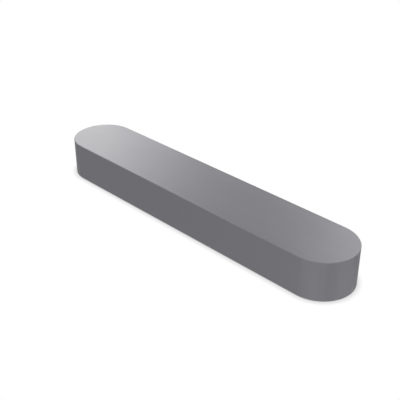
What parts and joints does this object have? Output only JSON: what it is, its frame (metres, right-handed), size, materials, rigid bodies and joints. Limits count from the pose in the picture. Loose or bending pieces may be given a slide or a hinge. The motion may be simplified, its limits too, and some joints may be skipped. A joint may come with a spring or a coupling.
{
  "type": "parallel key",
  "caption": "Flat steel bar with full-round ends that sits in a shaft's keyway and drives the hub round it.",
  "frame": {"origin": "centre of the bottom face, which rests on the floor of the shaft's pocket", "axes": "+X along the key, +Y across it between the flanks, +Z from the shaft's side to the hub's side"},
  "size_m": [0.11, 0.02, 0.012],
  "materials": {
    "key_steel": "bright cold-drawn steel, satin grey, with a faint grain along the key and milled round ends"
  },
  "bodies": {
    "root": {"parallel_key": "key_steel"}
  },
  "joints": []
}
